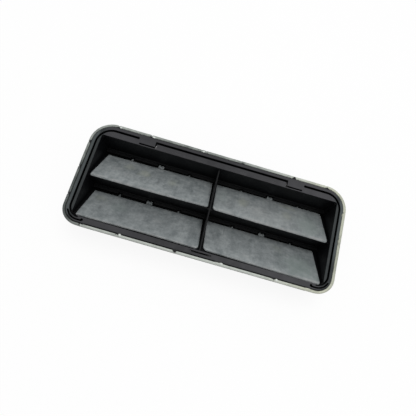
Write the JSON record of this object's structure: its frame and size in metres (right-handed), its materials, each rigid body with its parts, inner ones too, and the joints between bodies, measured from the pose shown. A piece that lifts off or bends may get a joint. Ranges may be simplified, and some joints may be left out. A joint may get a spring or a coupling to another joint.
{
  "type": "car rear air vent",
  "caption": "Cabin pressure relief vent: moulded duct frame with hanging rubber flaps on slanted seats, edge seal and snap hooks.",
  "frame": {"origin": "under the middle of the vent, on the plane of the duct's rear rim", "axes": "+X along the vent, +Y to the side where the flaps hang, +Z out of the car body"},
  "size_m": [0.2018, 0.0826, 0.034],
  "materials": {
    "housing_plastic": "fine-grained black moulded plastic with a dull shine, dusty",
    "seal_rubber": "aged pale grey-green soft rubber, chalky, cracked in places",
    "flap_rubber": "grey rubber sheet with a chalky bloom"
  },
  "bodies": {
    "housing": {"housing": "housing_plastic", "seal": "seal_rubber"},
    "flap_upper_left": {"flap_upper_left": "flap_rubber"},
    "flap_upper_right": {"flap_upper_right": "flap_rubber"},
    "flap_lower_left": {"flap_lower_left": "flap_rubber"},
    "flap_lower_right": {"flap_lower_right": "flap_rubber"}
  },
  "joints": [
    {"name": "upper_left_hinge", "type": "hinge", "parent": "housing", "child": "flap_upper_left", "pos_m": [-0.04608, 0.0268, 0.006], "axis": [-1, 0, 0], "range_deg": [0, 40]},
    {"name": "upper_right_hinge", "type": "hinge", "parent": "housing", "child": "flap_upper_right", "pos_m": [0.04577, 0.0268, 0.006], "axis": [-1, 0, 0], "range_deg": [0, 40]},
    {"name": "lower_left_hinge", "type": "hinge", "parent": "housing", "child": "flap_lower_left", "pos_m": [-0.04561, -0.0049, 0.006], "axis": [-1, 0, 0], "range_deg": [0, 40]},
    {"name": "lower_right_hinge", "type": "hinge", "parent": "housing", "child": "flap_lower_right", "pos_m": [0.04624, -0.0049, 0.006], "axis": [-1, 0, 0], "range_deg": [0, 40]}
  ]
}
